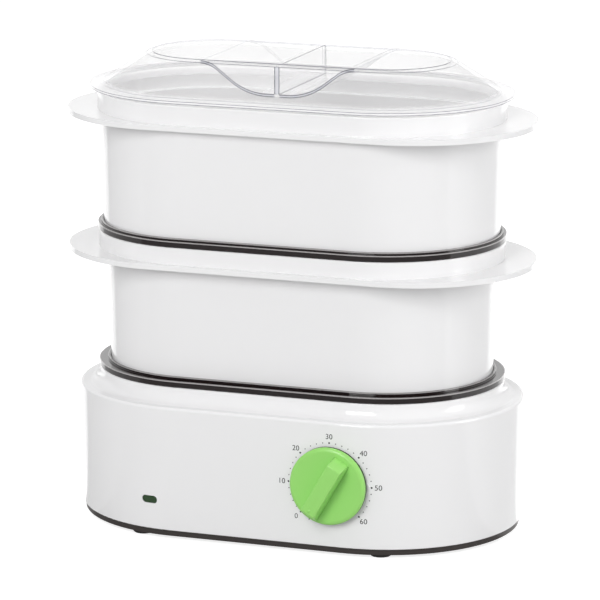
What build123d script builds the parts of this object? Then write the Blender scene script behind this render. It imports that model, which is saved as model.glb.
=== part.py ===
from build123d import *
import os
from math import asin, cos, radians, sin

# Electric food steamer: a base with a water tank and a timer, two stacked baskets
# that each stand in a dark perforated tray, and a clear lid. Millimetres, +Z up,
# front towards -Y, feet on z = 0.

# ---------------------------------------------------------------- driving dimensions
# Every outline is a stadium: two straight sides with half-round ends. SPINE is the
# distance from the middle to the centre of each end, and a radius gives the width.
SPINE = 67.0

FOOT_REACH = 2.5
FOOT_R = 8.0
FOOT_BEARING = 73.2
FOOT_INSET = 2.4
PLATE_EDGE = 4.5
PLATE_FLOOR = 3.0
PLATE_INSET = 1.0
SPIGOT_WALL = 2.4
VENT_LENGTH = 30.0
VENT_WIDTH = 3.0
HOUSING_HEIGHT = 93.5
HOUSING_R_BOTTOM = 101.2
HOUSING_R_TOP = 103.0
WALL = 2.5
COLLAR_HEIGHT = 12.0
COLLAR_R = 88.4
COLLAR_WALL = 2.9
COLLAR_SWEEP = 8.0

TIER_PITCH = 104.9
RING_R = 88.7
RING_EDGE = 4.6
RING_LIP = 6.6
RING_LIP_WALL = 1.9
TRAY_FLOOR = 2.5
TRAY_RISE = 2.0
SKIRT_DEPTH = 5.0
SKIRT_WALL = 2.2
BASKET_R = {"lower": 79.9, "upper": 84.3}
FLANGE_HEIGHT = {"lower": 92.0, "upper": 90.6}
BASKET_DRAFT = 1.3
FLANGE_SPINE = 87.0
FLANGE_R = 92.0
FLANGE_THICK = 4.0
FLANGE_LAND = 1.0
FLOOR_SLOT = (14.0, 5.0)
FLOOR_SLOT_PITCH = (22.0, 24.0)
FLOOR_SLOT_COUNT = (9, 5)

LID_HEIGHT = 28.2
LID_WALL = 2.0
LID_SKIRT = 4.0
LID_RIM_R = 94.0
LID_RIM_RISE = 2.4
LID_RIM_THICK = 2.0
LID_SHOULDER_R = 84.0
LID_SHOULDER_RISE = 6.0
LID_TOP_R = 51.9
LID_TOP_STEP = 1.5
LID_PLATE_R = 47.4
SCOOP_RIM = 1.5
SCOOP_DEPTH = 21.8
SCOOP_FLAT = 8.0
SCOOP_R = 46.0
SCOOP_ANGLE = 37.0
SCOOP_LIP_R = 21.0
GRIP_THICK = 4.0

DIAL_X = 58.8
DIAL_Z = 53.7
KNOB_R = 29.5
KNOB_GAP = 0.4
KNOB_DEPTH = 18.0
KNOB_DISC = 5.5
KNOB_EDGE = 2.2
DISH_DEPTH = 0.9
GRIP_LENGTH = 43.0
GRIP_WIDTH = 11.4
GRIP_SPREAD = 1.0
GRIP_TAPER = 4.0
PIP_R = 1.1
PIP_RISE = 0.3
OFF_ANGLE = 240.0
SHAFT_R = 3.0
SHAFT_SEAT = 10.0
SHAFT_FLAT = 0.8
SHAFT_BEARING = 12.0
TIMER_SIDE = 44.0
TIMER_DEPTH = 22.0
TIMER_EAR = 26.0
TIMER_STAND = 4.0
TIMER_PLATE_THICK = 1.2
TIMER_SCREW_HEAD = 1.8
PILLAR_R = 4.0
PILLAR_DRILL = 4.0
BELL_R = 17.0
BELL_DEPTH = 7.0
BELL_WALL = 1.2
BELL_POST_R = 3.0

LENS_X = -82.6
LENS_Z = 29.3
LENS_LENGTH = 12.7
LENS_HEIGHT = 5.8
LENS_RECESS = 0.8
LENS_STEP = 0.7
LENS_BACK = 1.3
LENS_BEZEL = 1.5
LAMP_LENGTH = 14.0

GLAND_X = -40.0
GLAND_Z = 25.0
GLAND_REACH = 5.0
GLAND_R = 8.0
GLAND_NECK_R = 6.0
GLAND_BORE_R = 3.7
GLAND_LOCK = 1.0
BLOCK_LENGTH = 40.0
BLOCK_WIDTH = 16.0
BLOCK_HEIGHT = 14.0
BLOCK_INSET = 14.0
BLOCK_HOLE_R = 2.4
BLOCK_HOLE_DEPTH = 4.0

TANK_R = 77.0
TANK_WELL_R = 57.0
TANK_DRAFT = 1.0
TANK_FLOOR_Z = 35.0
TANK_SHELF_Z = 88.0
TANK_SHELF_DROP = 5.0
TANK_LEG_INSET = 19.0
SEAL_THICK = 1.0
LIP_THICK = 2.5
DRIP_DEPTH = 8.0
DRIP_WALL = 1.8
CHIMNEY_SPINE = 36.0
CHIMNEY_R = 22.0

ELEMENT_TUBE_R = 3.5
ELEMENT_HALF_LENGTH = 73.0
ELEMENT_HALF_WIDTH = 28.0
ELEMENT_RISE = 10.0
ELEMENT_LEG_X = 12.0
ELEMENT_LEG_DROP = 12.0
ELEMENT_SEAL = 2.0
ELEMENT_COLLAR = 1.5
CLIP_WIDTH = 6.0
CUTOUT_R = 8.0
CUTOUT_DEPTH = 6.0
CUTOUT_EAR = 1.5
STEAM_RING_HEIGHT = 30.0
STEAM_RING_R = 37.0
STEAM_RING_SPINE = 45.0
STEAM_RING_WALL = 2.0
WATER_NOTCH_WIDTH = 10.0
WATER_NOTCH_HEIGHT = 4.0

BOSS_R = 5.0
SCREW_R = 1.5
SCREW_HEAD_R = 3.2
SCREW_HEAD = 1.3
SCREW_LENGTH = 12.0

# Roundings
FINE_ROUND = 0.5
EDGE_ROUND = 0.8
SOFT_ROUND = 1.5
DECK_ROUND = 2.0
DEEP_ROUND = 4.0

# Clearances
SEAT_GAP = 0.2      # between stacked pieces that lift off each other
SIDE_GAP = 0.4      # between nested walls
RUN_GAP = 0.05      # shaft in its bearing
HAIR = 0.1          # parts pressed or screwed together

# ---------------------------------------------------------------- derived dimensions
BASE_Z = FOOT_REACH + PLATE_EDGE
FLOOR_TOP_Z = FOOT_REACH + PLATE_FLOOR
DECK_Z = BASE_Z + HOUSING_HEIGHT
COLLAR_TOP_Z = DECK_Z + COLLAR_HEIGHT
COLLAR_BORE_R = COLLAR_R - COLLAR_WALL
SKIRT_R = COLLAR_BORE_R - SIDE_GAP
SEAT_Z = {"lower": COLLAR_TOP_Z + SEAT_GAP, "upper": COLLAR_TOP_Z + SEAT_GAP + TIER_PITCH}
LID_Z = COLLAR_TOP_Z + SEAT_GAP + 2 * TIER_PITCH
LID_TOP_Z = LID_Z + LID_HEIGHT


def wall_radius(height):
    """Outer radius of the drafted housing wall at a height."""
    share = (height - BASE_Z) / HOUSING_HEIGHT
    return HOUSING_R_BOTTOM + (HOUSING_R_TOP - HOUSING_R_BOTTOM) * share


KNOB_CLEAR_R = KNOB_GAP + max(wall_radius(DIAL_Z - KNOB_R), wall_radius(DIAL_Z + KNOB_R))
FRONT_REACH = KNOB_CLEAR_R + KNOB_DEPTH
BACK_REACH = max(HOUSING_R_TOP, wall_radius(GLAND_Z) + GLAND_REACH)
MID_Y = (FRONT_REACH - BACK_REACH) / 2     # centres the bounding box on the origin
FRONT_Y = MID_Y - wall_radius(DIAL_Z)      # outer face of the front wall at the dial
INNER_FRONT_Y = FRONT_Y + WALL
TIMER_PLATE_Y = INNER_FRONT_Y + TIMER_STAND
CASE_Y = TIMER_PLATE_Y + TIMER_PLATE_THICK
DECK_BORE_R = TANK_R + WALL + SIDE_GAP
BOSS_PLACE_R = DECK_BORE_R + SIDE_GAP + BOSS_R
BOSS_PLACES = (
    (SPINE + BOSS_PLACE_R, 0),
    (-SPINE - BOSS_PLACE_R, 0),
    (0, BOSS_PLACE_R),
    (0, -BOSS_PLACE_R),
)


# ---------------------------------------------------------------- shared shapes
def level(height):
    """Horizontal plane at a height, centred on the stack."""
    return Plane((0, MID_Y, height))


def facing_front(x, y, z):
    """Upright plane that faces the front, with its normal towards -Y."""
    return Plane(origin=(x, y, z), x_dir=(1, 0, 0), z_dir=(0, -1, 0))


def stadium(radius, spine=SPINE, mode=Mode.ADD):
    SlotCenterToCenter(2 * spine, 2 * radius, mode=mode)


def stadium_ring(outer_r, inner_r, spine=SPINE):
    stadium(outer_r, spine)
    stadium(inner_r, spine, mode=Mode.SUBTRACT)


def carry_round(corners, mode=Mode.ADD):
    """Carry a half-section round the stadium. Each corner is (radius, height, rounding)."""
    for side in (1, -1):
        start = Plane(origin=(-side * SPINE, MID_Y, 0), x_dir=(0, side, 0), z_dir=(side, 0, 0))
        with BuildSketch(start, mode=Mode.PRIVATE) as section:
            with BuildLine():
                path = [(radius, height) for radius, height, rounding in corners]
                FilletPolyline(*path, radius=[rounding for *_, rounding in corners], close=True)
            make_face()
        extrude(section.sketch, amount=2 * SPINE, mode=mode)
        end_axis = Axis((-side * SPINE, MID_Y, 0), (0, 0, 1))
        revolve(section.sketch, axis=end_axis, revolution_arc=180, mode=mode)


def finish(builder, name):
    builder.part.label = name
    export_step(builder.part, f"parts/{name}.step")


os.makedirs("parts", exist_ok=True)

# ---------------------------------------------------------------- base
deck_under_z = DECK_Z - WALL
deck_width = HOUSING_R_TOP - COLLAR_R
collar_sweep = min(COLLAR_SWEEP, 0.8 * (deck_width - DECK_ROUND), 0.8 * COLLAR_HEIGHT)

with BuildPart() as housing:
    carry_round([
        (HOUSING_R_BOTTOM, BASE_Z, FINE_ROUND),
        (HOUSING_R_TOP, DECK_Z, DECK_ROUND),
        (COLLAR_R, DECK_Z, collar_sweep),
        (COLLAR_R, COLLAR_TOP_Z, EDGE_ROUND),
        (COLLAR_BORE_R, COLLAR_TOP_Z, EDGE_ROUND),
        (COLLAR_BORE_R, DECK_Z, FINE_ROUND),
        (DECK_BORE_R, DECK_Z, 0),
        (DECK_BORE_R, deck_under_z, 0),
        (HOUSING_R_TOP - WALL, deck_under_z, SOFT_ROUND),
        (HOUSING_R_BOTTOM - WALL, BASE_Z, 0),
    ])
    # Screw bosses that hang from the deck down to the base plate
    with BuildSketch(level(FLOOR_TOP_Z)):
        with Locations(*BOSS_PLACES):
            Circle(BOSS_R)
    extrude(amount=deck_under_z + WALL / 2 - FLOOR_TOP_Z)
    with BuildSketch(level(FLOOR_TOP_Z)):
        with Locations(*BOSS_PLACES):
            Circle(SCREW_R + HAIR)
    extrude(amount=SCREW_LENGTH, mode=Mode.SUBTRACT)
    # Pillars that carry the timer plate, and their screw holes
    with BuildSketch(facing_front(DIAL_X, TIMER_PLATE_Y, DIAL_Z)):
        with Locations((TIMER_EAR, 0), (-TIMER_EAR, 0)):
            Circle(PILLAR_R)
    extrude(amount=TIMER_STAND + WALL / 2)
    with BuildSketch(facing_front(DIAL_X, TIMER_PLATE_Y, DIAL_Z)):
        with Locations((TIMER_EAR, 0), (-TIMER_EAR, 0)):
            Circle(SCREW_R + HAIR)
    extrude(amount=PILLAR_DRILL, mode=Mode.SUBTRACT)
    # Shaft hole in the front wall
    with BuildSketch(facing_front(DIAL_X, INNER_FRONT_Y + WALL, DIAL_Z)):
        Circle(2 * SHAFT_R)
    extrude(amount=3 * WALL, mode=Mode.SUBTRACT)
    # Cord gland hole in the back wall
    gland_wall_y = MID_Y + wall_radius(GLAND_Z)
    with BuildSketch(facing_front(GLAND_X, gland_wall_y + WALL, GLAND_Z)):
        Circle(GLAND_NECK_R + HAIR)
    extrude(amount=3 * WALL, mode=Mode.SUBTRACT)
    # Pilot light slot, square to the rounded end of the wall
    lens_r = wall_radius(LENS_Z)
    lens_turn = asin((-SPINE - LENS_X) / lens_r)
    lens_plane = Plane(
        origin=(LENS_X, MID_Y - lens_r * cos(lens_turn), LENS_Z),
        x_dir=(cos(lens_turn), -sin(lens_turn), 0),
        z_dir=(-sin(lens_turn), -cos(lens_turn), 0),
    )
    with BuildSketch(lens_plane.offset(WALL)):
        SlotOverall(LENS_LENGTH, LENS_HEIGHT)
    extrude(amount=-3 * WALL, mode=Mode.SUBTRACT)
finish(housing, "housing")

plate_r = HOUSING_R_BOTTOM - PLATE_INSET
spigot_r = HOUSING_R_BOTTOM - WALL - SIDE_GAP
spigot_top_z = BASE_Z + WALL
foot_recess = 0.4 * PLATE_FLOOR
foot_place_r = plate_r - FOOT_INSET - FOOT_R
foot_x = SPINE + foot_place_r * cos(radians(FOOT_BEARING))
foot_y = foot_place_r * sin(radians(FOOT_BEARING))
foot_places = [(x, y) for x in (foot_x, -foot_x) for y in (foot_y, -foot_y)]

with BuildPart() as base_plate:
    carry_round([
        (0, FOOT_REACH, 0),
        (plate_r, FOOT_REACH, EDGE_ROUND),
        (plate_r, BASE_Z, 0),
        (spigot_r, BASE_Z, 0),
        (spigot_r, spigot_top_z, FINE_ROUND),
        (spigot_r - SPIGOT_WALL, spigot_top_z, FINE_ROUND),
        (spigot_r - SPIGOT_WALL, FLOOR_TOP_Z, 0),
        (0, FLOOR_TOP_Z, 0),
    ])
    # The spigot stays clear of the screw bosses
    with BuildSketch(level(FLOOR_TOP_Z)):
        with Locations(*BOSS_PLACES):
            Circle(BOSS_R + SIDE_GAP)
    extrude(amount=spigot_top_z - FLOOR_TOP_Z, mode=Mode.SUBTRACT)
    with BuildSketch(level(FOOT_REACH)):
        with Locations(*foot_places):
            Circle(FOOT_R + HAIR)
    extrude(amount=foot_recess, mode=Mode.SUBTRACT)
    # Screw holes with head recesses, and two banks of vent slots
    with BuildSketch(level(FOOT_REACH)):
        with Locations(*BOSS_PLACES):
            Circle(SCREW_HEAD_R + SIDE_GAP)
    extrude(amount=PLATE_FLOOR / 2, mode=Mode.SUBTRACT)
    with BuildSketch(level(FOOT_REACH)):
        with Locations(*BOSS_PLACES):
            Circle(SCREW_R + HAIR)
        with Locations((-SPINE, 0), (SPINE, 0)):
            with GridLocations(0, 3 * VENT_WIDTH, 1, 4):
                SlotOverall(VENT_LENGTH, VENT_WIDTH)
    extrude(amount=PLATE_FLOOR, mode=Mode.SUBTRACT)
finish(base_plate, "base_plate")

with BuildPart() as feet:
    with BuildSketch(level(0)):
        with Locations(*foot_places):
            Circle(FOOT_R)
    extrude(amount=FOOT_REACH + foot_recess)
    chamfer(feet.edges().group_by(Axis.Z)[0], EDGE_ROUND)
finish(feet, "feet")

head_z = FOOT_REACH + PLATE_FLOOR / 2
with BuildPart() as base_screws:
    with BuildSketch(level(head_z)):
        with Locations(*BOSS_PLACES):
            Circle(SCREW_HEAD_R)
    extrude(amount=-SCREW_HEAD)
    with BuildSketch(level(head_z)):
        with Locations(*BOSS_PLACES):
            Circle(SCREW_R)
    extrude(amount=SCREW_LENGTH)
finish(base_screws, "base_screws")

# ---------------------------------------------------------------- water tank
lip_under_z = DECK_Z + SEAL_THICK
lip_top_z = lip_under_z + LIP_THICK
tank_under_z = TANK_FLOOR_Z - WALL
shelf_foot_z = TANK_SHELF_Z - TANK_SHELF_DROP
shelf_round = 0.6 * TANK_SHELF_DROP
leg_y = TANK_WELL_R - TANK_LEG_INSET
leg_places = [(x, y) for x in (-SPINE, SPINE) for y in (-leg_y, leg_y)]
element_leg_places = [(x, -ELEMENT_HALF_WIDTH) for x in (-ELEMENT_LEG_X, ELEMENT_LEG_X)]
seal_r = ELEMENT_TUBE_R + ELEMENT_SEAL

with BuildPart() as water_tank:
    carry_round([
        (0, tank_under_z, 0),
        (TANK_WELL_R + WALL - TANK_DRAFT, tank_under_z, DEEP_ROUND),
        (TANK_WELL_R + WALL, shelf_foot_z - WALL, DEEP_ROUND),
        (TANK_R + WALL, TANK_SHELF_Z - WALL, shelf_round),
        (TANK_R + WALL, lip_under_z, 0),
        (COLLAR_BORE_R - SIDE_GAP, lip_under_z, 0),
        (COLLAR_BORE_R - SIDE_GAP, lip_top_z, FINE_ROUND),
        (TANK_R, lip_top_z, FINE_ROUND),
        (TANK_R, TANK_SHELF_Z, shelf_round),
        (TANK_WELL_R, shelf_foot_z, DEEP_ROUND),
        (TANK_WELL_R - TANK_DRAFT, TANK_FLOOR_Z, DEEP_ROUND),
        (0, TANK_FLOOR_Z, 0),
    ])
    with BuildSketch(level(FLOOR_TOP_Z)):
        with Locations(*leg_places):
            Circle(BOSS_R)
    extrude(amount=TANK_FLOOR_Z - WALL / 2 - FLOOR_TOP_Z)
    with BuildSketch(level(tank_under_z)):
        with Locations(*element_leg_places):
            Circle(seal_r + HAIR)
    extrude(amount=WALL, mode=Mode.SUBTRACT)
finish(water_tank, "water_tank")

with BuildPart() as tank_seal:
    with BuildSketch(level(DECK_Z)):
        stadium_ring(COLLAR_BORE_R - 2 * SIDE_GAP, DECK_BORE_R)
    extrude(amount=SEAL_THICK)
finish(tank_seal, "tank_seal")

# ---------------------------------------------------------------- heating
element_z = TANK_FLOOR_Z + ELEMENT_RISE
leg_foot_z = tank_under_z - ELEMENT_LEG_DROP
loop_corner = 0.96 * ELEMENT_HALF_WIDTH
leg_bend = 0.8 * ELEMENT_RISE

with BuildPart() as heating_element:
    with BuildLine(level(0)) as loop:
        FilletPolyline(
            (-ELEMENT_LEG_X, -ELEMENT_HALF_WIDTH, leg_foot_z),
            (-ELEMENT_LEG_X, -ELEMENT_HALF_WIDTH, element_z),
            (-ELEMENT_HALF_LENGTH, -ELEMENT_HALF_WIDTH, element_z),
            (-ELEMENT_HALF_LENGTH, ELEMENT_HALF_WIDTH, element_z),
            (ELEMENT_HALF_LENGTH, ELEMENT_HALF_WIDTH, element_z),
            (ELEMENT_HALF_LENGTH, -ELEMENT_HALF_WIDTH, element_z),
            (ELEMENT_LEG_X, -ELEMENT_HALF_WIDTH, element_z),
            (ELEMENT_LEG_X, -ELEMENT_HALF_WIDTH, leg_foot_z),
            radius=[leg_bend] + [loop_corner] * 4 + [leg_bend],
        )
    with BuildSketch(Plane(origin=loop.line @ 0, z_dir=loop.line % 0)):
        Circle(ELEMENT_TUBE_R)
    sweep()
finish(heating_element, "heating_element")

with BuildPart() as element_seals:
    with BuildSketch(level(tank_under_z)):
        with Locations(*element_leg_places):
            Circle(seal_r)
            Circle(ELEMENT_TUBE_R + RUN_GAP, mode=Mode.SUBTRACT)
    extrude(amount=WALL)
    with BuildSketch(level(TANK_FLOOR_Z)):
        with Locations(*element_leg_places):
            Circle(seal_r + ELEMENT_SEAL)
            Circle(ELEMENT_TUBE_R + RUN_GAP, mode=Mode.SUBTRACT)
    extrude(amount=ELEMENT_COLLAR)
finish(element_seals, "element_seals")

with BuildPart() as element_clips:
    with BuildSketch(level(TANK_FLOOR_Z)):
        with Locations((-SPINE / 2, ELEMENT_HALF_WIDTH), (SPINE / 2, ELEMENT_HALF_WIDTH)):
            Rectangle(CLIP_WIDTH, 4 * ELEMENT_TUBE_R)
    extrude(amount=ELEMENT_RISE)
    with BuildSketch(Plane(origin=(-SPINE, MID_Y, 0), x_dir=(0, 1, 0), z_dir=(1, 0, 0))):
        with Locations((ELEMENT_HALF_WIDTH, element_z)):
            Circle(ELEMENT_TUBE_R + RUN_GAP)
    extrude(amount=2 * SPINE, mode=Mode.SUBTRACT)
finish(element_clips, "element_clips")

with BuildPart() as steam_ring:
    with BuildSketch(level(TANK_FLOOR_Z)):
        stadium_ring(STEAM_RING_R + STEAM_RING_WALL, STEAM_RING_R, STEAM_RING_SPINE)
    extrude(amount=STEAM_RING_HEIGHT)
    # Water notches along the foot of both sides
    with BuildSketch(facing_front(0, MID_Y, TANK_FLOOR_Z)):
        with GridLocations(STEAM_RING_SPINE, 0, 3, 1):
            Rectangle(WATER_NOTCH_WIDTH, 2 * WATER_NOTCH_HEIGHT)
    extrude(amount=2 * STEAM_RING_R, both=True, mode=Mode.SUBTRACT)
finish(steam_ring, "steam_ring")

with BuildPart() as boil_dry_cutout:
    with BuildSketch(level(tank_under_z)):
        Circle(CUTOUT_R)
    extrude(amount=-CUTOUT_DEPTH)
    with BuildSketch(level(tank_under_z)):
        SlotOverall(4 * CUTOUT_R, CUTOUT_R)
    extrude(amount=-CUTOUT_EAR)
finish(boil_dry_cutout, "boil_dry_cutout")

# ---------------------------------------------------------------- timer
with BuildPart() as timer_plate:
    with BuildSketch(facing_front(DIAL_X, CASE_Y, DIAL_Z)):
        RectangleRounded(2 * (TIMER_EAR + PILLAR_R), TIMER_SIDE, DEEP_ROUND)
        Circle(1.5 * SHAFT_R, mode=Mode.SUBTRACT)
        with Locations((TIMER_EAR, 0), (-TIMER_EAR, 0)):
            Circle(SCREW_R + HAIR, mode=Mode.SUBTRACT)
    extrude(amount=TIMER_PLATE_THICK)
finish(timer_plate, "timer_plate")

with BuildPart() as timer_screws:
    with BuildSketch(facing_front(DIAL_X, CASE_Y, DIAL_Z)):
        with Locations((TIMER_EAR, 0), (-TIMER_EAR, 0)):
            Circle(SCREW_HEAD_R)
    extrude(amount=-TIMER_SCREW_HEAD)
    with BuildSketch(facing_front(DIAL_X, CASE_Y, DIAL_Z)):
        with Locations((TIMER_EAR, 0), (-TIMER_EAR, 0)):
            Circle(SCREW_R)
    extrude(amount=TIMER_PLATE_THICK + PILLAR_DRILL - SIDE_GAP)
finish(timer_screws, "timer_screws")

case_side = 2 * (TIMER_EAR - SCREW_HEAD_R - 2 * SIDE_GAP)
with BuildPart() as timer_case:
    with BuildSketch(facing_front(DIAL_X, CASE_Y, DIAL_Z)):
        RectangleRounded(case_side, TIMER_SIDE, DEEP_ROUND)
    extrude(amount=-TIMER_DEPTH)
    with BuildSketch(facing_front(DIAL_X, CASE_Y, DIAL_Z)):
        Circle(SHAFT_R + RUN_GAP)
    extrude(amount=-SHAFT_BEARING, mode=Mode.SUBTRACT)
finish(timer_case, "timer_case")

bell_y = CASE_Y + TIMER_DEPTH
bell_corner = 0.55 * BELL_DEPTH
with BuildPart() as timer_bell:
    with BuildSketch(Plane(origin=(DIAL_X, bell_y, DIAL_Z), x_dir=(1, 0, 0), z_dir=(0, 0, 1))):
        with BuildLine():
            FilletPolyline(
                (BELL_R - BELL_WALL, 0),
                (BELL_R, 0),
                (BELL_R, BELL_DEPTH),
                (0, BELL_DEPTH),
                (0, BELL_DEPTH - BELL_WALL),
                (BELL_R - BELL_WALL, BELL_DEPTH - BELL_WALL),
                radius=[0, 0, bell_corner, 0, 0, bell_corner - BELL_WALL],
                close=True,
            )
        make_face()
    revolve(axis=Axis((DIAL_X, bell_y, DIAL_Z), (0, 1, 0)))
    with BuildSketch(facing_front(DIAL_X, bell_y, DIAL_Z)):
        Circle(BELL_POST_R)
    extrude(amount=-(BELL_DEPTH - BELL_WALL / 2))
finish(timer_bell, "timer_bell")

# Knob: a dished disc with a bar across it. The bar's pointer end aims at OFF_ANGLE.
knob_back_y = MID_Y - KNOB_CLEAR_R
disc_front_y = knob_back_y - KNOB_DISC
bar_front_y = knob_back_y - KNOB_DEPTH
bar_foot_y = disc_front_y + DISH_DEPTH
dial_axis = Axis((DIAL_X, disc_front_y, DIAL_Z), (0, 1, 0))

with BuildPart() as timer_knob:
    with BuildSketch(facing_front(DIAL_X, knob_back_y, DIAL_Z)):
        Circle(KNOB_R)
    extrude(amount=KNOB_DISC)
    fillet(timer_knob.edges().group_by(Axis.Y)[0], KNOB_EDGE)
    # Shallow round dish in the face
    with BuildSketch(Plane(origin=(DIAL_X, disc_front_y, DIAL_Z), x_dir=(1, 0, 0), z_dir=(0, 0, 1))):
        with BuildLine():
            dish = TangentArc((0, DISH_DEPTH), (KNOB_R - 1.5 * KNOB_EDGE, 0), tangent=(1, 0))
            Polyline(dish @ 1, (0, 0), dish @ 0)
        make_face()
    revolve(axis=dial_axis, mode=Mode.SUBTRACT)
    with BuildSketch(facing_front(DIAL_X, bar_foot_y, DIAL_Z)):
        SlotOverall(GRIP_LENGTH + 2 * GRIP_SPREAD, GRIP_WIDTH + 2 * GRIP_SPREAD, rotation=OFF_ANGLE)
    extrude(amount=bar_foot_y - bar_front_y, taper=GRIP_TAPER)
    fillet(timer_knob.faces().sort_by(Axis.Y)[0].edges(), SOFT_ROUND)
    # Pointer pip near the end of the bar
    with BuildSketch(facing_front(DIAL_X, bar_front_y + PIP_RISE, DIAL_Z)):
        with PolarLocations(GRIP_LENGTH / 2 - 3 * PIP_R, 1, start_angle=OFF_ANGLE):
            Circle(PIP_R)
    extrude(amount=PIP_RISE)
    # Socket for the shaft
    with BuildSketch(facing_front(DIAL_X, knob_back_y, DIAL_Z)):
        Circle(SHAFT_R + RUN_GAP)
    extrude(amount=SHAFT_SEAT, mode=Mode.SUBTRACT)
finish(timer_knob, "timer_knob")

shaft_front_y = knob_back_y - SHAFT_SEAT + HAIR
shaft_back_y = CASE_Y + SHAFT_BEARING - SIDE_GAP
with BuildPart() as timer_shaft:
    with BuildSketch(facing_front(DIAL_X, shaft_back_y, DIAL_Z)):
        Circle(SHAFT_R)
    extrude(amount=shaft_back_y - shaft_front_y)
    # Flat that keys the knob
    with BuildSketch(facing_front(DIAL_X, shaft_front_y, DIAL_Z)):
        with Locations((0, SHAFT_R)):
            Rectangle(2 * SHAFT_R, 2 * SHAFT_FLAT)
    extrude(amount=-SHAFT_SEAT, mode=Mode.SUBTRACT)
finish(timer_shaft, "timer_shaft")

# ---------------------------------------------------------------- pilot light and mains inlet
lens_shoulder = WALL + LENS_STEP
lens_back = lens_shoulder + LENS_BACK
with BuildPart() as pilot_lens:
    with BuildSketch(lens_plane.offset(-LENS_RECESS)):
        SlotOverall(LENS_LENGTH - 2 * HAIR, LENS_HEIGHT - 2 * HAIR)
    extrude(amount=-(lens_back - LENS_RECESS))
    with BuildSketch(lens_plane.offset(-lens_shoulder)):
        SlotOverall(LENS_LENGTH + 2 * LENS_BEZEL, LENS_HEIGHT + 2 * LENS_BEZEL)
    extrude(amount=-LENS_BACK)
finish(pilot_lens, "pilot_lens")

with BuildPart() as pilot_lamp:
    with BuildSketch(lens_plane.offset(-lens_back)):
        Circle(LENS_HEIGHT / 2)
    extrude(amount=-LAMP_LENGTH)
finish(pilot_lamp, "pilot_lamp")

gland_wall_radii = (wall_radius(GLAND_Z - GLAND_R), wall_radius(GLAND_Z + GLAND_R))
gland_end_y = gland_wall_y + GLAND_REACH
gland_flange_y = MID_Y + max(gland_wall_radii) + HAIR
gland_lock_y = MID_Y + min(gland_wall_radii) - WALL - HAIR
with BuildPart() as cord_gland:
    with BuildSketch(facing_front(GLAND_X, gland_end_y, GLAND_Z)):
        Circle(GLAND_R)
    extrude(amount=gland_end_y - gland_flange_y)
    fillet(cord_gland.edges().group_by(Axis.Y)[-1], SOFT_ROUND)
    with BuildSketch(facing_front(GLAND_X, gland_flange_y + GLAND_LOCK, GLAND_Z)):
        Circle(GLAND_NECK_R)
    extrude(amount=gland_flange_y - gland_lock_y + 2 * GLAND_LOCK)
    with BuildSketch(facing_front(GLAND_X, gland_lock_y, GLAND_Z)):
        Circle(GLAND_R)
    extrude(amount=GLAND_LOCK)
    with BuildSketch(facing_front(GLAND_X, gland_end_y, GLAND_Z)):
        Circle(GLAND_BORE_R)
    extrude(amount=gland_end_y - gland_lock_y + 2 * GLAND_LOCK, mode=Mode.SUBTRACT)
finish(cord_gland, "cord_gland")

block_y = spigot_r - SPIGOT_WALL - BLOCK_INSET - BLOCK_WIDTH / 2
with BuildPart() as terminal_block:
    with BuildSketch(level(FLOOR_TOP_Z)):
        with Locations((GLAND_X, block_y)):
            Rectangle(BLOCK_LENGTH, BLOCK_WIDTH)
    extrude(amount=BLOCK_HEIGHT)
    with BuildSketch(level(FLOOR_TOP_Z + BLOCK_HEIGHT)):
        with Locations((GLAND_X, block_y)):
            with GridLocations(BLOCK_LENGTH / 3, BLOCK_WIDTH / 2, 3, 2):
                Circle(BLOCK_HOLE_R)
    extrude(amount=-BLOCK_HOLE_DEPTH, mode=Mode.SUBTRACT)
finish(terminal_block, "terminal_block")

# ---------------------------------------------------------------- drip tray
drip_rim_z = lip_top_z + SEAT_GAP
drip_floor_z = drip_rim_z - DRIP_DEPTH
drip_top_z = drip_rim_z + DRIP_WALL
drip_r = TANK_R - SIDE_GAP
drip_rim_r = COLLAR_BORE_R - 2 * SIDE_GAP

with BuildPart() as drip_tray:
    carry_round([
        (0, drip_floor_z, 0),
        (drip_r, drip_floor_z, SOFT_ROUND + DRIP_WALL),
        (drip_r, drip_rim_z, 0),
        (drip_rim_r, drip_rim_z, 0),
        (drip_rim_r, drip_top_z, FINE_ROUND),
        (drip_r - DRIP_WALL, drip_top_z, EDGE_ROUND),
        (drip_r - DRIP_WALL, drip_floor_z + DRIP_WALL, SOFT_ROUND),
        (0, drip_floor_z + DRIP_WALL, 0),
    ])
    # Chimney that lets the steam up through the tray
    with BuildSketch(level(drip_floor_z)):
        stadium(CHIMNEY_R, CHIMNEY_SPINE)
    extrude(amount=drip_top_z - drip_floor_z)
    with BuildSketch(level(drip_floor_z)):
        stadium(CHIMNEY_R - DRIP_WALL, CHIMNEY_SPINE)
    extrude(amount=drip_top_z - drip_floor_z, mode=Mode.SUBTRACT)
finish(drip_tray, "drip_tray")

# ---------------------------------------------------------------- steam trays and baskets
skirt_bore_r = SKIRT_R - SKIRT_WALL

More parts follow.
